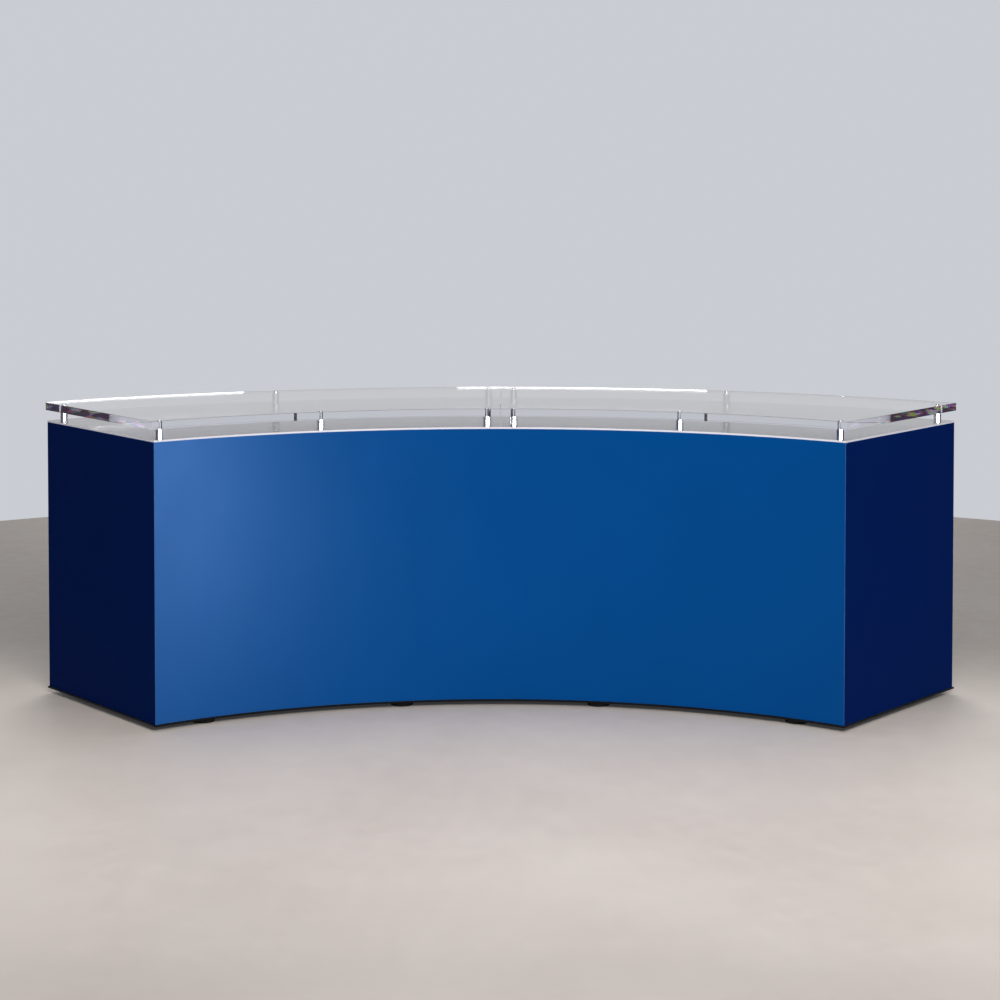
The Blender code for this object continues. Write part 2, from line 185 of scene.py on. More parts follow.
def blue_laminate(name, colour, shade, roughness, gloss):
    """A satin laminate with a fine pressed texture, faint cloudiness and handling marks."""
    surface = Surface(name)
    cloud = surface.noise(2.5, 2.0)
    marks = surface.noise((9.0, 9.0, 4.0), 6.0, 0.65)
    texture = surface.noise(1400.0, 2.0)
    surface.set(
        Base_Color=surface.blend(surface.spread(cloud, 0.0, 1.0), colour, shade),
        Roughness=surface.spread(
            marks, roughness - ROUGHNESS_SPREAD, roughness + ROUGHNESS_SPREAD
        ),
        Specular_IOR_Level=gloss,
        Specular_Tint=BLUE_GLOSS,
    )
    surface.bump(texture, 0.12, 0.0001)
    return surface.material


def deck_laminate():
    """A pale satin sheet, finely speckled and faintly smeared by wiping."""
    surface = Surface("deck_laminate")
    speckle = surface.noise(900.0, 2.0)
    smear = surface.noise((5.0, 14.0, 5.0), 5.0, 0.6)
    surface.set(
        Base_Color=surface.blend(
            surface.spread(speckle, 0.0, 1.0), (0.235, 0.235, 0.247), (0.265, 0.265, 0.277)
        ),
        Roughness=surface.spread(smear, 0.10, 0.17),
        Specular_IOR_Level=0.5,
    )
    surface.bump(speckle, 0.05, 0.0001)
    return surface.material


def melamine(name, colour, shade):
    """A pale melamine facing with a fine pearl texture."""
    surface = Surface(name)
    pearl = surface.noise(600.0, 3.0)
    cloud = surface.noise(3.0, 4.0)
    surface.set(
        Base_Color=surface.blend(surface.spread(cloud, 0.0, 1.0), colour, shade),
        Roughness=surface.spread(pearl, 0.38, 0.52),
    )
    surface.bump(pearl, 0.15, 0.0002)
    return surface.material


def birch():
    """Lacquered birch, with the grain along the drawer's length and fine pores."""
    surface = Surface("drawer_birch")
    figure = surface.noise((60.0, 3.0, 90.0), 4.0, 0.6)
    pores = surface.noise((900.0, 30.0, 900.0), 3.0, 0.6)
    wood = surface.blend(surface.spread(figure, 0.0, 1.0), (0.62, 0.44, 0.25), (0.50, 0.33, 0.17))
    pored = surface.spread(pores, 0.0, 0.35, 0.55, 0.75)
    surface.set(
        Base_Color=surface.blend(pored, wood, (0.30, 0.18, 0.08)),
        Roughness=surface.spread(figure, 0.34, 0.46),
        Coat_Weight=0.25,
        Coat_Roughness=0.2,
    )
    surface.bump(pores, 0.2, 0.0002)
    return surface.material


def clear_acrylic():
    """Clear cast sheet, with a very faint haze from wiping."""
    surface = Surface("clear_acrylic")
    haze = surface.noise(30.0, 6.0, 0.7)
    surface.set(
        Base_Color=(0.930, 0.925, 0.950),
        Transmission_Weight=1.0,
        IOR=1.49,
        Roughness=surface.spread(haze, 0.0, 0.02, 0.5, 0.8),
    )
    return surface.material


def black_plate():
    """A black-coated plate with faint patches of dust."""
    surface = Surface("black_plate")
    dust = surface.noise(40.0, 6.0, 0.65)
    grit = surface.noise(1200.0, 2.0)
    surface.set(
        Base_Color=surface.blend(
            surface.spread(dust, 0.0, 0.6, 0.5, 0.8), (0.003, 0.003, 0.0035), (0.014, 0.013, 0.012)
        ),
        Roughness=surface.spread(dust, 0.38, 0.60),
        Specular_IOR_Level=0.2,
    )
    surface.bump(grit, 0.2, 0.0002)
    return surface.material


def black_rubber():
    """Dull black rubber, grained and scuffed."""
    surface = Surface("black_rubber")
    grain = surface.noise(1500.0, 2.0)
    scuff = surface.noise(120.0, 5.0, 0.7)
    surface.set(
        Base_Color=surface.blend(
            surface.spread(scuff, 0.0, 1.0, 0.5, 0.8), (0.010, 0.010, 0.010), (0.030, 0.029, 0.028)
        ),
        Roughness=surface.spread(grain, 0.65, 0.85),
    )
    surface.bump(grain, 0.3, 0.0003)
    return surface.material


def polished_steel():
    """Turned stainless steel: fine rings left by the lathe under a high polish."""
    surface = Surface("polished_steel")
    rings = surface.noise((20.0, 20.0, 5000.0), 2.0)
    smudge = surface.noise(90.0, 5.0, 0.6)
    surface.set(
        Base_Color=surface.blend(
            surface.spread(smudge, 0.0, 1.0), (0.86, 0.86, 0.87), (0.78, 0.78, 0.80)
        ),
        Metallic=1.0,
        Roughness=surface.spread(smudge, 0.07, 0.16),
    )
    surface.bump(rings, 0.08, 0.00005)
    return surface.material


def zinc_steel():
    """Zinc-plated sheet with its soft spangle and rolling lines."""
    surface = Surface("zinc_steel")
    spangle = surface.add(
        "ShaderNodeTexVoronoi", {"Vector": surface.stretched(160.0), "Scale": 1.0}
    ).outputs["Color"]
    lines = surface.noise((900.0, 20.0, 900.0), 3.0)
    tone = surface.spread(spangle, 0.0, 1.0, 0.0, 1.0)
    surface.set(
        Base_Color=surface.blend(tone, (0.46, 0.47, 0.48), (0.60, 0.61, 0.62)),
        Metallic=1.0,
        Roughness=surface.spread(lines, 0.30, 0.45),
    )
    surface.bump(lines, 0.1, 0.0001)
    return surface.material


MATERIALS = {
    "front_blue": blue_laminate(
        "front_blue_laminate", (0.0002, 0.0545, 0.2180), (0.0002, 0.0515, 0.2060), 0.37, 0.15
    ),
    # Painted shade: the end panels are the same laminate as the front panel, given a darker blue that
    # stands in for the shade on them
    "painted_shade_end_blue": blue_laminate(
        "end_blue_laminate", (0.0002, 0.0086, 0.0690), (0.0002, 0.0080, 0.0650), 0.48, 0.01
    ),
    "blue_edge": blue_laminate(
        "blue_laminate_edge", (0.0600, 0.1700, 0.4200), (0.0500, 0.1500, 0.3900), 0.45, 0.5
    ),
    "deck": deck_laminate(),
    "deck_edge": melamine("deck_edge_band", (0.66, 0.65, 0.70), (0.70, 0.69, 0.74)),
    "board": melamine("carcass_laminate", (0.70, 0.70, 0.70), (0.66, 0.66, 0.665)),
    "board_edge": melamine("carcass_edge_band", (0.76, 0.76, 0.76), (0.72, 0.72, 0.725)),
    "birch": birch(),
    "acrylic": clear_acrylic(),
    "plate": black_plate(),
    "rubber": black_rubber(),
    "steel": polished_steel(),
    "zinc": zinc_steel(),
}


# The boards of the CAD model, with rounded edges

def dress(node, width, *names):
    """Rounds a node's edges and gives it its materials, the last of which covers the rounding."""
    obj = frame["nodes"][node]
    obj.data.materials.clear()
    for name in names:
        obj.data.materials.append(MATERIALS[name])
    obj.data.shade_smooth()
    weld = obj.modifiers.new("weld", "WELD")
    weld.merge_threshold = MERGE
    plain = obj.modifiers.new("plain", "DECIMATE")
    plain.decimate_type = "DISSOLVE"
    plain.angle_limit = radians(0.5)
    plain.delimit = {"MATERIAL"}
    rounding = obj.modifiers.new("rounding", "BEVEL")
    rounding.width = width
    rounding.segments = 2
    rounding.limit_method = "ANGLE"
    rounding.angle_limit = radians(40)
    rounding.material = len(names) - 1
    flat = obj.modifiers.new("flat", "WEIGHTED_NORMAL")
    flat.weight = 100
    return obj


def paint(obj, index, choose):
    """Gives material number index to the faces that choose picks."""
    for polygon in obj.data.polygons:
        if choose(polygon):
            polygon.material_index = index


def from_centre(point):
    """The flat direction from the centre of the arcs to a point."""
    return Vector((point.x, point.y - CENTRE_Y)).normalized()


def upright(polygon):
    return abs(polygon.normal.z) < 0.5


def inner_face(polygon):
    """True for a face that looks away from the centre of the arcs, into the carcass."""
    outward = from_centre(polygon.center)
    return upright(polygon) and polygon.normal.xy.dot(outward) > 0.5


def dress_boards():
    panel = dress("front_panel", 0.0006, "front_blue", "board", "blue_edge")
    paint(panel, 1, inner_face)
    for side, sign in SIDES.items():
        end = dress(f"end_panel_{side}", 0.0006, "painted_shade_end_blue", "board", "blue_edge")
        inward = Vector((-sign * cos(HALF_SWEEP), sin(HALF_SWEEP), 0.0))
        paint(end, 1, lambda polygon: polygon.normal.dot(inward) > 0.9)
        for bay in ("inner", "outer"):
            shelf = dress(f"shelf_{side}_{bay}", 0.0008, "board", "board_edge", "board_edge")
            paint(shelf, 1, inner_face)
        dress(f"drawer_front_{side}", 0.0010, "board", "board_edge")
        dress(f"drawer_tray_{side}", 0.0012, "birch")
        for edge in SIDES:
            dress(f"drawer_hanger_{side}_{edge}", 0.0006, "zinc")
    deck = dress("deck_sheet", 0.0006, "deck", "deck_edge", "deck_edge")
    paint(deck, 1, upright)
    for name in ("bottom_board", "sub_top", "divider_left", "divider_centre", "divider_right"):
        board = dress(name, 0.0008, "board", "board_edge", "board_edge")
        paint(board, 1, inner_face)
    dress("base_plate", 0.0008, "plate")


# New pieces

def plan_point(angle, along, offset=0.0):
    """The point `along` a ray from the centre of the arcs, moved sideways by `offset`."""
    return Vector((
        sin(angle) * along + cos(angle) * offset,
        cos(angle) * along - sin(angle) * offset + CENTRE_Y,
    ))


def arc(radius, low_edge, high_edge):
    """An arc between two edges, each a ray's angle and its sideways move."""
    start, end = (angle + asin(offset / radius) for angle, offset in (low_edge, high_edge))
    count = max(1, ceil(abs(end - start) / ARC_STEP))
    return [plan_point(start + (end - start) * i / count, radius) for i in range(count + 1)]


def ring(centre, radius, count):
    return [
        Vector((centre.x + radius * cos(2 * pi * i / count), centre.y + radius * sin(2 * pi * i / count)))
        for i in range(count)
    ]


def finish_piece(name, mesh, material, slot, body, *nodes):
    """A finished piece in the scene, riding on its body."""
    bm = bmesh.new()
    bm.from_mesh(mesh)
    bmesh.ops.remove_doubles(bm, verts=bm.verts, dist=MERGE)
    bmesh.ops.recalc_face_normals(bm, faces=bm.faces)
    bm.to_mesh(mesh)
    bm.free()
    mesh.materials.clear()
    mesh.materials.append(MATERIALS[material])
    mesh.shade_smooth()
    mesh.set_sharp_from_angle(angle=FLAT_ANGLE)
    obj = bpy.data.objects.new(name, mesh)
    bpy.context.scene.collection.objects.link(obj)
    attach(obj, body)
    if nodes:
        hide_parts(*nodes)
    return obj


def evaluated_mesh(obj):
    """The mesh that a helper object's curve or modifiers make. The helper is removed."""
    bpy.context.scene.collection.objects.link(obj)
    graph = bpy.context.evaluated_depsgraph_get()
    mesh = bpy.data.meshes.new_from_object(obj.evaluated_get(graph))
    bpy.data.objects.remove(obj, do_unlink=True)
    return mesh


def sheet_mesh(name, outlines, low, high, rounding):
    """A flat sheet inside the first outline, without the others, with rounded rims."""
    curve = bpy.data.curves.new(name, "CURVE")
    curve.dimensions = "2D"
    curve.fill_mode = "BOTH"
    curve.extrude = (high - low) / 2 - rounding
    curve.bevel_depth = rounding
    curve.bevel_resolution = 1
    curve.offset = -rounding
    for outline in outlines:
        spline = curve.splines.new("POLY")
        spline.points.add(len(outline) - 1)
        for point, place in zip(spline.points, outline):
            point.co = (place.x, place.y, 0.0, 1.0)
        spline.use_cyclic_u = True
    mesh = evaluated_mesh(bpy.data.objects.new(name, curve))
    mesh.transform(Matrix.Translation((0.0, 0.0, (low + high) / 2)))
    return mesh


def turned_mesh(name, profile, centre, steps=ROUND_STEPS):
    """A profile of (radius, height) points, run down its outer side, turned about a vertical axis."""
    bm = bmesh.new()
    points = [bm.verts.new((radius, 0.0, height)) for radius, height in profile]
    edges = [bm.edges.new(pair) for pair in zip(points, points[1:])]
    if profile[0][0] > 0.0:
        edges.append(bm.edges.new((points[-1], points[0])))
    bmesh.ops.spin(
        bm, geom=points + edges, cent=(0.0, 0.0, 0.0), axis=(0.0, 0.0, 1.0), angle=2 * pi,
        steps=steps, use_merge=True,
    )
    bmesh.ops.translate(bm, verts=bm.verts, vec=(centre.x, centre.y, 0.0))
    bmesh.ops.remove_doubles(bm, verts=bm.verts, dist=MERGE)
    mesh = bpy.data.meshes.new(name)
    bm.to_mesh(mesh)
    bm.free()
    return mesh


def drilled(mesh, cutter):
    """The mesh with the cutter's shape taken out of it."""
    body = bpy.data.objects.new(mesh.name, mesh)
    tool = bpy.data.objects.new(mesh.name + "_drill", cutter)
    bpy.context.scene.collection.objects.link(tool)
    boolean = body.modifiers.new("drill", "BOOLEAN")
    boolean.operation = "DIFFERENCE"
    boolean.solver = "EXACT"
    boolean.object = tool
    made = evaluated_mesh(body)
    bpy.data.objects.remove(tool, do_unlink=True)
    return made


def centre_of(node):
    low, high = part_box(node)
    return (low + high) / 2


def level_normals(mesh, low, high):
    """Gives a sheet's two level faces exactly level normals."""
    normals = [corner.vector.copy() for corner in mesh.corner_normals]
    for height, normal in ((low, (0.0, 0.0, -1.0)), (high, (0.0, 0.0, 1.0))):
        for polygon in mesh.polygons:
            if all(abs(mesh.vertices[i].co.z - height) < MERGE for i in polygon.vertices):
                for loop in polygon.loop_indices:
                    normals[loop] = Vector(normal)
    mesh.normals_split_custom_set(normals)


HOLE_RADIUS = 0.0064
HOLE_STEPS = 48
ACRYLIC_ROUNDING = 0.0007


def acrylic_half(side, sign):
    """Half of the acrylic top, with polished rims and a hole for each cap screw."""
    low_edge, high_edge = (0.0, sign * SEAM / 2), (sign * HALF_SWEEP, sign * ACRYLIC_END)
    near = arc(FRONT_RADIUS - ACRYLIC_FRONT, low_edge, high_edge)
    far = arc(BACK_RADIUS - ACRYLIC_SETBACK, high_edge, low_edge)
    holes = [
        ring(centre_of(f"standoff_{name}"), HOLE_RADIUS, HOLE_STEPS)
        for name in STANDOFFS
        if side in name
    ]
    node = f"acrylic_top_{side}"
    outlines = [near + far, *holes]
    mesh = sheet_mesh(node, outlines, ACRYLIC_LOW, ACRYLIC_TOP, ACRYLIC_ROUNDING)
    piece = finish_piece(f"clear_top_{side}", mesh, "acrylic", "clear_acrylic", "counter", node)
    level_normals(mesh, ACRYLIC_LOW, ACRYLIC_TOP)
    piece.visible_shadow = False
    return piece


def fillet(corner, start, end, radius, steps=4):
    """Points that round off a profile's corner between the directions to start and end."""
    corner, start, end = Vector(corner), Vector(start), Vector(end)
    into, out = (start - corner).normalized(), (end - corner).normalized()
    first, last = corner + into * radius, corner + out * radius
    return [
        tuple(first.lerp(corner, t).lerp(corner.lerp(last, t), t))
        for t in (i / steps for i in range(steps + 1))
    ]


def rounded_profile(points, radius, sharp=()):
    """A profile whose inner corners are rounded, other than those at the numbers in sharp."""
    profile = [points[0]]
    for i in range(1, len(points) - 1):
        if i in sharp:
            profile.append(points[i])
        else:
            profile += fillet(points[i], points[i - 1], points[i + 1], radius)
    return [*profile, points[-1]]


SLEEVE_BORE = 0.0046
SLEEVE_ROUNDING = 0.0008
SLEEVE_STEPS = 96
GRUB_HOLE_RADIUS = 0.0022
GRUB_RADIUS = GRUB_HOLE_RADIUS * 0.93
GRUB_STEPS = 32
GRUB_DEPTH = 0.0030             # of the hole that the grub screw sits in
GRUB_SEAT = GRUB_DEPTH * 0.62   # from the sleeve's side to the grub's middle
GRUB_LENGTH = GRUB_DEPTH * 0.7
KEY_RADIUS = GRUB_RADIUS * 0.6  # of the hexagon socket in the grub screw
KEY_LENGTH = 0.0022
GRUB_BELOW = 0.0075             # from the sleeve's top down to its grub screw
GRUB_BAND = 0.0027              # the sleeve has a loop of edges this far above and below the grub


def round_side(mesh, centre, radius):
    """Gives the outer side of a turned piece the normals of a true cylinder."""
    normals = [corner.vector.copy() for corner in mesh.corner_normals]
    for polygon in mesh.polygons:
        outward = [(mesh.vertices[i].co - centre).xy for i in polygon.vertices]
        if upright(polygon) and all(abs(flat.length - radius) < 0.0001 for flat in outward):
            for loop, flat in zip(polygon.loop_indices, outward):
                normals[loop] = Vector((*flat.normalized(), 0.0))
    mesh.normals_split_custom_set(normals)


def cylinder_mesh(name, centre, radius, length, steps, turn):
    bm = bmesh.new()
    bmesh.ops.create_cone(
        bm, cap_ends=True, segments=steps, radius1=radius, radius2=radius, depth=length
    )
    bm.transform(Matrix.Translation(centre) @ turn)
    mesh = bpy.data.meshes.new(name)
    bm.to_mesh(mesh)
    bm.free()
    return mesh


def standoff(name):
    """A polished sleeve with rounded rims and a grub screw near its top, facing the customer."""
    node = f"standoff_{name}"
    low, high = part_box(node)
    centre = (low + high) / 2
    radius = (high.y - low.y) / 2
    profile = rounded_profile(
        [
            (SLEEVE_BORE, high.z),
            (radius, high.z),
            (radius, high.z - GRUB_BELOW + GRUB_BAND),
            (radius, high.z - GRUB_BELOW - GRUB_BAND),
            (radius, low.z),
            (SLEEVE_BORE, low.z),
        ],
        SLEEVE_ROUNDING,
        sharp=(2, 3),
    )
    sleeve = turned_mesh(f"sleeve_{name}", profile, centre, SLEEVE_STEPS)
    facing = Matrix.Rotation(pi / 2, 4, "X")
    mouth = Vector((centre.x, low.y, high.z - GRUB_BELOW))
    drill = cylinder_mesh("drill", mouth, GRUB_HOLE_RADIUS, GRUB_DEPTH * 2, GRUB_STEPS, facing)
    sleeve = drilled(sleeve, drill)
    finish_piece(f"sleeve_{name}", sleeve, "steel", "polished_steel", "counter", node)
    round_side(sleeve, centre, radius)
    seat = mouth + Vector((0.0, GRUB_SEAT, 0.0))
    grub = cylinder_mesh(f"grub_{name}", seat, GRUB_RADIUS, GRUB_LENGTH, GRUB_STEPS, facing)
    face = seat - Vector((0.0, GRUB_LENGTH / 2, 0.0))
    key = cylinder_mesh("key", face, KEY_RADIUS, KEY_LENGTH, 6, facing)
    finish_piece(f"grub_{name}", drilled(grub, key), "plate", "zinc_steel", "counter")


CAP_CLEARANCE = 0.0003          # between the cap and the acrylic under it
CAP_RIM = 0.0009                # height of the cap's upright rim
CAP_CHAMFER = 0.0002
DOME_STEPS = 10
SHOULDER_RADIUS = 0.0060        # the stout part inside the acrylic
SHOULDER_CHAMFER = 0.0005
SHANK_RADIUS = 0.0040


def cap_screw(name):
    """A low domed cap on a polished shoulder, with the shank below it."""
    node = f"cap_screw_{name}"
    low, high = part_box(node)
    centre = (low + high) / 2
    cap_radius = (high.y - low.y) / 2
    under = ACRYLIC_TOP + CAP_CLEARANCE
    rim = under + CAP_RIM
    dome = high.z - rim
    turns = [pi / 2 * i / DOME_STEPS for i in range(DOME_STEPS + 1)]
    profile = [(cap_radius * sin(turn), rim + dome * cos(turn)) for turn in turns]
    profile += [
        (cap_radius, under + CAP_CHAMFER),
        (cap_radius - CAP_CHAMFER, under),
        (SHOULDER_RADIUS, under),
        (SHOULDER_RADIUS, ACRYLIC_LOW + SHOULDER_CHAMFER),
        (SHOULDER_RADIUS - SHOULDER_CHAMFER, ACRYLIC_LOW),
        (SHANK_RADIUS, ACRYLIC_LOW),
        (SHANK_RADIUS, low.z),
        (0.0, low.z),
    ]
    mesh = turned_mesh(f"cap_{name}", profile, centre)
    finish_piece(f"cap_{name}", mesh, "steel", "polished_steel", "counter", node)


def threaded(radius, depth, pitch, high, low):
    """A stem's profile, down from high to low, as a row of V-shaped ridges."""
    count = int((high - low) / pitch)
    step = (high - low) / count
    profile = []
    for i in range(count):
        top = high - step * i
        profile += [(radius - depth, top), (radius, top - step / 2)]
    return [*profile, (radius - depth, low)]


PAD_BORE = 0.0052
PAD_GAP = 0.0003                # between the pad and the base plate above it
PAD_SIDE_LOW = 0.0020           # left below the ribs, down to the floor
PAD_SIDE_HIGH = 0.0020          # from the pad's top down to its first rib
PAD_EDGE = 0.0015
PAD_DISH = 0.0012               # depth of the dish in the pad's top
PAD_DISH_FOOT = 0.012           # from the pad's side to the dish's floor
PAD_DISH_RIM = 0.010            # from the pad's side to the dish's rim
RIBS = 4
RIB_DEPTH = 0.0012
STEM_RADIUS = 0.0050
STEM_STEPS = 48
STEM_CHAMFER = 0.0006           # from the stem's top to its first ridge
STEM_LOW = 0.0012
THREAD_DEPTH = 0.0007
THREAD_PITCH = 0.0015
THREAD_END = 0.001              # from the pad's top down to the last ridge
SOCKET_RADIUS = 0.0024          # of the socket in the stem's top
SOCKET_DEPTH = 0.004
STEM_TOP_RADIUS = 0.0042


def levelling_foot(name):
    """A rubber pad with a ribbed side, and the threaded stem that it hangs on."""
    node = f"foot_{name}"
    low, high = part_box(node)
    centre = (low + high) / 2
    radius = (high.y - low.y) / 2
    pad_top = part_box("base_plate")[0].z - PAD_GAP
    groove = radius - RIB_DEPTH
    step = (pad_top - PAD_SIDE_HIGH - PAD_SIDE_LOW) / RIBS
    side = []
    for i in range(RIBS):
        top = pad_top - PAD_SIDE_HIGH - step * i
        side += [(radius, top), (radius, top - step * 0.6)]
        side += [(groove, top - step * 0.75), (groove, top - step * 0.9)]
    profile = [
        (PAD_BORE, pad_top - PAD_DISH),
        (radius - PAD_DISH_FOOT, pad_top - PAD_DISH),
        (radius - PAD_DISH_RIM, pad_top),
        (radius - PAD_EDGE, pad_top),
        *side,
        (radius, PAD_EDGE),
        (radius - PAD_EDGE, 0.0),
        (PAD_BORE, 0.0),
    ]
    body = f"levelling_foot_{name}"
    pad = turned_mesh(f"pad_{name}", profile, centre)
    finish_piece(f"pad_{name}", pad, "rubber", "black_rubber", body, node)
    thread_low = pad_top - THREAD_END
    stem_profile = [
        (0.0, high.z - SOCKET_DEPTH),
        (SOCKET_RADIUS, high.z - SOCKET_DEPTH),
        (SOCKET_RADIUS, high.z),
        (STEM_TOP_RADIUS, high.z),
        *threaded(STEM_RADIUS, THREAD_DEPTH, THREAD_PITCH, high.z - STEM_CHAMFER, thread_low),
        (STEM_RADIUS, thread_low),
        (STEM_RADIUS, STEM_LOW),
        (0.0, STEM_LOW),
    ]
    stem = turned_mesh(f"stem_{name}", stem_profile, centre, STEM_STEPS)
    finish_piece(f"stem_{name}", stem, "zinc", "zinc_steel", body)


PULL_HALF_WIDTH = 0.070
PULL_REACH = 0.028              # from the drawer's front board out to the bar's middle
PULL_BEND = 0.014               # radius of the bar's two bends
PULL_GAP = 0.0005               # between the board's face and the ends of the bar
PULL_STEPS = 12
BOARD_FACE = BACK_RADIUS - 0.022    # of the drawers' front boards, from the centre of the arcs


def drawer_pull(side, sign):
    """A round bow handle."""
    node = f"drawer_pull_{side}"
    angle = sign * HALF_SWEEP / 4
    low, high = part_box(node)
    height = (low.z + high.z) / 2
    radius = (high.z - low.z) / 2
    root = sqrt(BOARD_FACE**2 - PULL_HALF_WIDTH**2) + PULL_GAP
    bend_side = PULL_HALF_WIDTH - PULL_BEND
    bend_ahead = BOARD_FACE + PULL_REACH - PULL_BEND
    turns = [pi / 2 * i / PULL_STEPS for i in range(PULL_STEPS + 1)]
    path = [(PULL_HALF_WIDTH, root)]
    path += [(bend_side + PULL_BEND * cos(turn), bend_ahead + PULL_BEND * sin(turn)) for turn in turns]
    path += [(-sideways, ahead) for sideways, ahead in reversed(path)]
    curve = bpy.data.curves.new(node, "CURVE")
    curve.dimensions = "3D"
    curve.bevel_depth = radius
    curve.bevel_resolution = 6
    curve.use_fill_caps = True
    spline = curve.splines.new("POLY")
    spline.points.add(len(path) - 1)
    for point, (sideways, ahead) in zip(spline.points, path):
        place = plan_point(angle, ahead, sideways)
        point.co = (place.x, place.y, height, 1.0)
    mesh = evaluated_mesh(bpy.data.objects.new(node, curve))
    finish_piece(f"bow_pull_{side}", mesh, "steel", "polished_steel", f"drawer_{side}", node)


def make_object():
    dress_boards()
    for side, sign in SIDES.items():
        acrylic_half(side, sign)
        drawer_pull(side, sign)
    for name in STANDOFFS:
        standoff(name)
        cap_screw(name)
    for name in FEET:
        levelling_foot(name)


# The stage: a pale floor, a plain backdrop far out, soft lights and the camera

FLOOR_RADIUS = 4.9
BACKDROP_RADIUS = 14.0
BACKDROP_HEIGHT = 9.0
BACKDROP_LOW = -0.001           # just under the floor
STAGE_STEPS = 128
PAINTED_UNDER_LIGHT = 0.030                    # painted light: how strongly the floor under the counter glows, standing in for light that reaches under the base
PAINTED_UNDER_LIGHT_EDGE = 0.012               # over which that glow fades at the counter's edges

# Painted shade on the floor from the camera's side to the far side, as (place along, tone): darker
# towards the camera and darkest behind the counter
FLOOR_PAINTED_SHADE = (
    (0.17, 0.57), (0.21, 0.66), (0.29, 0.92), (0.37, 1.00), (0.45, 1.00),
    (0.50, 0.76), (0.54, 0.50), (0.60, 0.34), (0.85, 0.37),
)


def stops(ramp, values):
    """Fills a colour ramp, each stop being a place and a grey or a colour."""
    while len(ramp.elements) < len(values):
        ramp.elements.new(0.5)
    for element, (place, value) in zip(ramp.elements, values):
        element.position = place
        element.color = (*value, 1.0) if hasattr(value, "__len__") else (value, value, value, 1.0)


def floor_material():
    """A pale cloudy floor with painted shade from front to back, and a faint painted glow under the
    counter that stands in for light reaching under its base.
    """
    surface = Surface("pale_floor")
    cloud = surface.noise(0.9, 6.0, 0.6)
    grain = surface.noise(14.0, 6.0, 0.7)
    tone = surface.math("ADD", surface.spread(cloud, 0.0, 0.7), surface.spread(grain, 0.0, 0.3))
    along = surface.add("ShaderNodeSeparateXYZ", {"Vector": surface.place}).outputs["Y"]
    depth = surface.spread(along, 0.0, 1.0, -FLOOR_RADIUS, FLOOR_RADIUS)
    # Painted shade: the floor is darkened towards the camera and most behind the counter, where its
    # shadow falls
    painted_shade = surface.add("ShaderNodeValToRGB", {"Fac": depth})
    painted_shade.color_ramp.interpolation = "B_SPLINE"
    stops(painted_shade.color_ramp, FLOOR_PAINTED_SHADE)
    pale = surface.blend(tone, (0.585, 0.523, 0.470), (0.700, 0.638, 0.582))
    # The painted glow stays between the two arcs and the two flat ends
    from_arcs = surface.vector_math("SUBTRACT", surface.place, (0.0, CENTRE_Y, 0.0))
    flat = surface.vector_math("MULTIPLY", from_arcs, (1.0, 1.0, 0.0))
    away = surface.vector_math("LENGTH", flat)
    mirrored = surface.vector_math("ABSOLUTE", flat)
    end_normal = (cos(HALF_SWEEP), -sin(HALF_SWEEP), 0.0)
    beyond = surface.vector_math("DOT_PRODUCT", mirrored, end_normal)
    under = surface.math(
        "MULTIPLY",
        surface.spread(away, 0.0, 1.0, FRONT_RADIUS, FRONT_RADIUS + PAINTED_UNDER_LIGHT_EDGE),
        surface.spread(away, 1.0, 0.0, BACK_RADIUS - PAINTED_UNDER_LIGHT_EDGE, BACK_RADIUS),
    )
    under = surface.math("MULTIPLY", under, surface.spread(beyond, 1.0, 0.0, -PAINTED_UNDER_LIGHT_EDGE, 0.0))
    surface.set(
        Emission_Color=(0.95, 0.95, 1.0),
        Emission_Strength=surface.math("MULTIPLY", under, PAINTED_UNDER_LIGHT),
        Base_Color=surface.blend(1.0, pale, painted_shade.outputs["Color"], "MULTIPLY"),
        Roughness=surface.spread(grain, 0.42, 0.55),
        Specular_IOR_Level=0.3,
    )
    return surface.material


def backdrop_material():
    """A plain pale surface that looks evenly lit from everywhere."""
    surface = Surface("pale_backdrop")
    surface.set(
        Base_Color=(0.0, 0.0, 0.0),
        Specular_IOR_Level=0.0,
        Emission_Color=(0.585, 0.605, 0.645),
        Emission_Strength=1.0,
    )
    return surface.material


def stage_mesh(name, mesh, material):
    """A part of the stage, which is not exported with the object."""
    mesh.materials.append(material)
    obj = bpy.data.objects.new(name, mesh)
    bpy.context.scene.collection.objects.link(obj)
    return obj


def make_stage():
    bm = bmesh.new()
    bmesh.ops.create_circle(bm, cap_ends=True, segments=STAGE_STEPS, radius=FLOOR_RADIUS)
    mesh = bpy.data.meshes.new("floor")
    bm.to_mesh(mesh)
    bm.free()
    stage_mesh("floor", mesh, floor_material())
    profile = [
        (FLOOR_RADIUS, BACKDROP_LOW),
        (BACKDROP_RADIUS, BACKDROP_LOW),
        (BACKDROP_RADIUS, BACKDROP_HEIGHT),
    ]
    bm = bmesh.new()
    points = [bm.verts.new((radius, 0.0, height)) for radius, height in profile]
    edges = [bm.edges.new(pair) for pair in zip(points, points[1:])]
    bmesh.ops.spin(
        bm, geom=points + edges, cent=(0.0, 0.0, 0.0), axis=(0.0, 0.0, 1.0), angle=2 * pi,
        steps=STAGE_STEPS, use_merge=True,
    )
    mesh = bpy.data.meshes.new("backdrop")
    bm.to_mesh(mesh)
    bm.free()
    backdrop = stage_mesh("backdrop", mesh, backdrop_material())
    backdrop.visible_diffuse = False
    backdrop.visible_glossy = False
    backdrop.visible_shadow = False


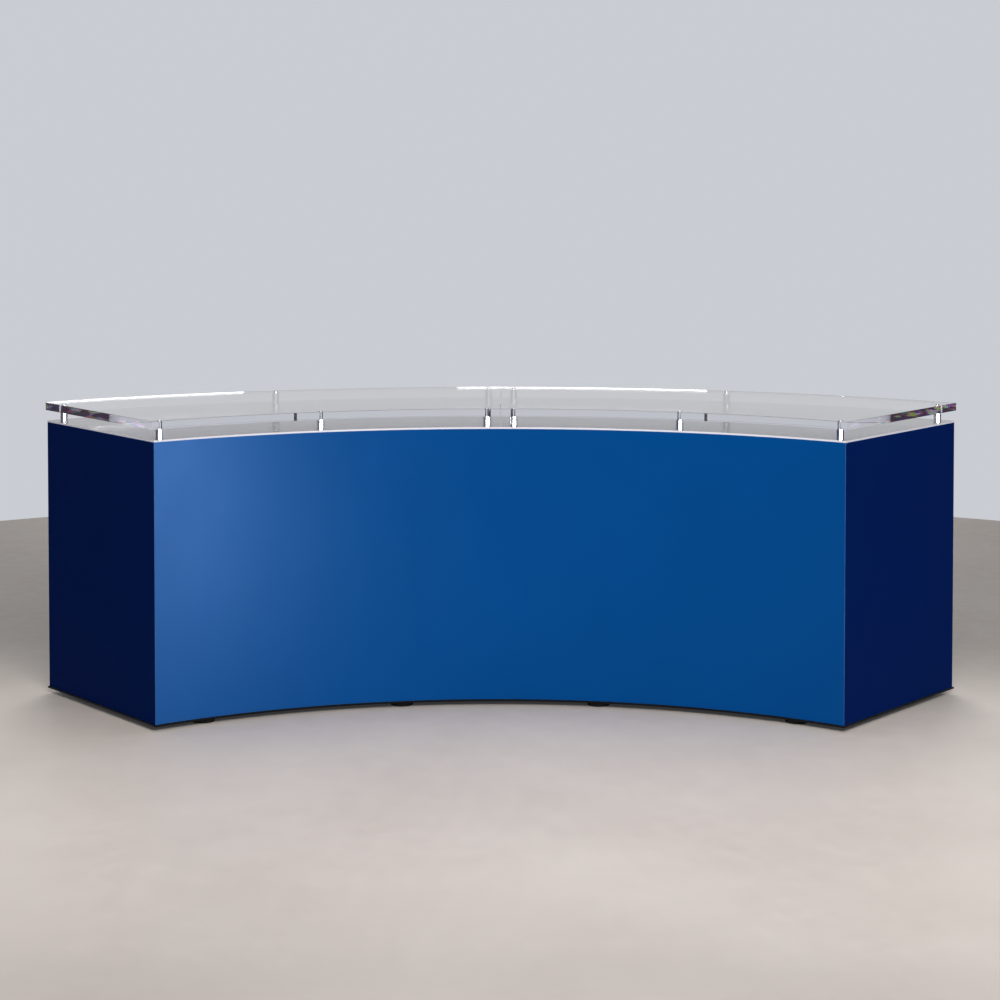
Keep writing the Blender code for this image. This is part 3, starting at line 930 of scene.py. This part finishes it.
# The world's colour from the camera's side to the far side, as (place along, colour)
WORLD_TONES = (
    (0.00, (0.300, 0.303, 0.310)),
    (0.20, (0.160, 0.162, 0.166)),
    (0.42, (0.045, 0.034, 0.066)),
    (0.62, (0.055, 0.042, 0.078)),
    (0.72, (0.090, 0.091, 0.094)),
    (0.92, (0.560, 0.566, 0.580)),
    (1.00, (0.600, 0.606, 0.620)),
)

# The glints that the acrylic's flat ends mirror: the colour between them, and where they are, as
# the direction's Y and Z with the reach to either side
GLINT_GROUND = (0.30, 0.16, 0.36, 1.0)
GLINT_Y, GLINT_Y_REACH = 0.41, 0.12
GLINT_Z, GLINT_Z_REACH = -0.11, 0.07


def make_world():
    """Soft light from all round: brighter behind and above, dim at the sides, with small glints."""
    world = bpy.data.worlds.new("studio")
    bpy.context.scene.world = world
    world.use_nodes = True
    tree = world.node_tree

    def add(kind, inputs=None, **settings):
        node = tree.nodes.new(kind)
        for key, value in settings.items():
            setattr(node, key, value)
        for socket, value in (inputs or {}).items():
            if isinstance(value, bpy.types.NodeSocket):
                tree.links.new(value, node.inputs[socket])
            else:
                node.inputs[socket].default_value = value
        return node

    def spread(value, low, high, start, end):
        return add(
            "ShaderNodeMapRange",
            {"Value": value, "From Min": start, "From Max": end, "To Min": low, "To Max": high},
        ).outputs["Result"]

    def join(blend_type, first, second):
        inputs = {0: 1.0, 6: first, 7: second}
        return add("ShaderNodeMix", inputs, data_type="RGBA", blend_type=blend_type).outputs[2]

    direction = add("ShaderNodeTexCoord").outputs["Generated"]
    split = add("ShaderNodeSeparateXYZ", {0: direction})
    along = add("ShaderNodeValToRGB", {"Fac": spread(split.outputs["Y"], 0.0, 1.0, -1.0, 1.0)})
    along.color_ramp.interpolation = "EASE"
    stops(along.color_ramp, WORLD_TONES)
    above = spread(split.outputs["Z"], 0.0, 0.30, 0.15, 1.0)
    upended = add("ShaderNodeMapping", {"Vector": direction, "Scale": (1.0, 1.0, 3.0)}).outputs[0]
    cells = add("ShaderNodeTexVoronoi", {"Vector": upended, "Scale": 650.0}).outputs["Color"]
    noise = add("ShaderNodeTexNoise", {"Vector": upended, "Scale": 160.0, "Detail": 2.0})
    patch = spread(noise.outputs["Fac"], 0.2, 3.2, 0.50, 0.66)
    glints = join("ADD", GLINT_GROUND, join("MULTIPLY", cells, patch))
    places = (
        (split.outputs["Y"], GLINT_Y, GLINT_Y_REACH),
        (split.outputs["Z"], GLINT_Z, GLINT_Z_REACH),
    )
    for value, middle, reach in places:
        away = add("ShaderNodeMath", {0: value, 1: middle}, operation="SUBTRACT").outputs[0]
        away = add("ShaderNodeMath", {0: away}, operation="ABSOLUTE").outputs[0]
        glints = join("MULTIPLY", glints, spread(away, 1.0, 0.0, reach * 0.8, reach))
    total = join("ADD", join("ADD", along.outputs["Color"], above), glints)
    tree.links.new(total, tree.nodes["Background"].inputs["Color"])


def softbox(name, place, target, width, height, power, lights_only=None, **unseen):
    """A rectangular area light aimed at a target. It never shows itself to the camera."""
    light = bpy.data.lights.new(name, "AREA")
    light.shape = "RECTANGLE"
    light.size = width
    light.size_y = height
    light.energy = power
    obj = bpy.data.objects.new(name, light)
    obj.location = place
    obj.rotation_euler = (Vector(target) - Vector(place)).to_track_quat("-Z", "Y").to_euler()
    obj.visible_camera = False
    for key, value in unseen.items():
        setattr(obj, key, value)
    if lights_only:
        chosen = bpy.data.collections.new(name)
        for piece in lights_only:
            chosen.objects.link(piece)
        obj.light_linking.receiver_collection = chosen
    bpy.context.scene.collection.objects.link(obj)


def make_lights():
    middle = (0.0, -0.3, 0.6)
    caps = [obj for obj in bpy.data.objects if obj.name.startswith("cap_")]
    steel = [*caps, *(obj for obj in bpy.data.objects if obj.name.startswith("sleeve_"))]
    clear = [obj for obj in bpy.data.objects if obj.name.startswith("clear_top_")]
    panel = [frame["nodes"]["front_panel"]]
    right_end = [frame["nodes"]["end_panel_right"]]
    plain = {"visible_glossy": False, "visible_transmission": False}
    shine = {"visible_diffuse": False, "visible_transmission": False}
    edges = {"visible_diffuse": False, "visible_glossy": False}
    top = (0.0, 0.2, 1.05)
    softbox("front_key", (1.0, -7.0, 4.2), middle, 3.0, 2.5, 560.0, **plain)
    softbox("overhead", (0.0, 0.5, 5.0), (0.0, 0.0, 0.0), 6.0, 4.0, 60.0, **plain)
    softbox("staff_side", (0.0, 7.5, 4.0), middle, 4.0, 3.0, 380.0, **plain)
    softbox("sheen_card", (6.7, -3.9, 1.6), middle, 4.0, 3.2, 1400.0, panel, **shine)
    softbox("low_sheen_card", (1.5, -2.1, 0.18), (-1.0, -0.5, 0.4), 1.3, 0.35, 40.0, panel, **shine)
    softbox("end_card", (6.5, -3.5, 1.6), middle, 3.0, 2.5, 90.0, right_end, **plain)
    softbox("steel_card", (2.2, -7.0, 0.6), middle, 9.0, 2.4, 900.0, steel, **shine)
    softbox("cap_card", (0.0, -5.0, 5.5), top, 6.0, 4.0, 500.0, caps, **shine)
    softbox("edge_card_right", (5.4, -5.0, 2.0), top, 3.9, 0.35, 36.0, clear, **edges)
    softbox("edge_card_left", (-1.4, -7.5, 2.0), top, 4.3, 0.35, 40.0, clear, **edges)


def make_camera():
    camera = bpy.data.cameras.new("camera")
    camera.lens = 90.4
    camera.sensor_width = 36.0
    camera.shift_y = -0.2555
    camera.clip_end = 100.0
    obj = bpy.data.objects.new("camera", camera)
    obj.location = (0.046, -9.083, 2.040)
    obj.rotation_euler = (radians(90.0 - 2.5), 0.0, radians(0.3))
    bpy.context.scene.collection.objects.link(obj)
    bpy.context.scene.camera = obj


make_camera()
make_object()
make_stage()
make_world()
make_lights()
bpy.context.scene.view_settings.view_transform = "Standard"
